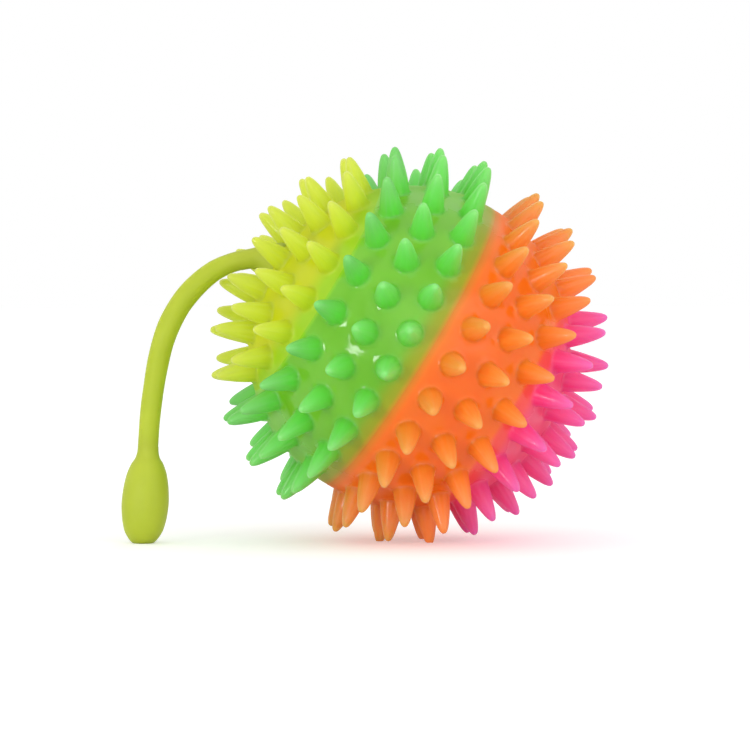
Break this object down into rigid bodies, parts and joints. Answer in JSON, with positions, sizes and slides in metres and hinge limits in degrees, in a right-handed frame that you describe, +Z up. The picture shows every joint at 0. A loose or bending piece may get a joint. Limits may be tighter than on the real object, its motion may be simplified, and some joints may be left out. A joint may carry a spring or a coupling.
{
  "type": "spiky jelly ball",
  "caption": "Hollow soft ball in coloured zones, covered in blunt spikes, with a stretchy tail that ends in a grip bulb and a shake-lit flasher inside.",
  "frame": {"origin": "on the floor under the ball's centre", "axes": "+Z up, -X towards the tail and its bulb, -Y towards the viewer of the picture"},
  "size_m": [0.1212, 0.0988, 0.0988],
  "materials": {
    "lime_jelly": "translucent satin",
    "green_jelly": "translucent satin",
    "orange_jelly": "translucent satin",
    "pink_jelly": "translucent satin",
    "tail_jelly": "satin",
    "case_white": "satin",
    "dome_clear": "clear",
    "contact_steel": "nickel plated",
    "cell_steel": "polished",
    "sleeve_blue": "film",
    "board_green": "solder mask",
    "lamp_red": "clear tinted",
    "lamp_blue": "clear tinted",
    "chip_black": "potted",
    "post_brass": "drawn",
    "spring_steel": "drawn"
  },
  "bodies": {
    "ball": {"lime_cap": "lime_jelly", "green_band": "green_jelly", "orange_band": "orange_jelly", "pink_cap": "pink_jelly", "tail_plug": "tail_jelly", "flasher_base": "case_white", "flasher_dome": "dome_clear", "contact_top": "contact_steel", "contact_bottom": "contact_steel", "cell_1": "cell_steel", "cell_2": "cell_steel", "cell_3": "cell_steel", "cell_sleeve": "sleeve_blue", "circuit_board": "board_green", "led_red": "lamp_red", "led_blue": "lamp_blue", "flash_chip": "chip_black", "switch_post": "post_brass"},
    "collar": {"tail_collar": "tail_jelly"},
    "tail": {"tail_cord": "tail_jelly"},
    "grip": {"tail_bulb": "tail_jelly"},
    "switch": {"switch_spring": "spring_steel"}
  },
  "joints": [
    {"name": "tail_swivel", "type": "hinge", "parent": "ball", "child": "collar", "pos_m": [-0.03579, 0, 0.07085], "axis": [-0.8523, 0, 0.5231], "continuous": true},
    {"name": "tail_lift", "type": "hinge", "parent": "collar", "child": "tail", "pos_m": [-0.03579, 0, 0.07085], "axis": [0, 1, 0], "range_deg": [0, 65]},
    {"name": "tail_stretch", "type": "slide", "parent": "tail", "child": "grip", "axis": [-1, 0, 0], "range_m": [0, 0.1], "stiffness_N_per_m": 90, "deforming": ["tail_cord"]},
    {"name": "switch_tremble", "type": "hinge", "parent": "ball", "child": "switch", "pos_m": [-0.0093, -0.0045, 0.05459], "axis": [0, 1, 0], "range_deg": [-8, 8], "stiffness_Nm_per_rad": 0.0002}
  ]
}
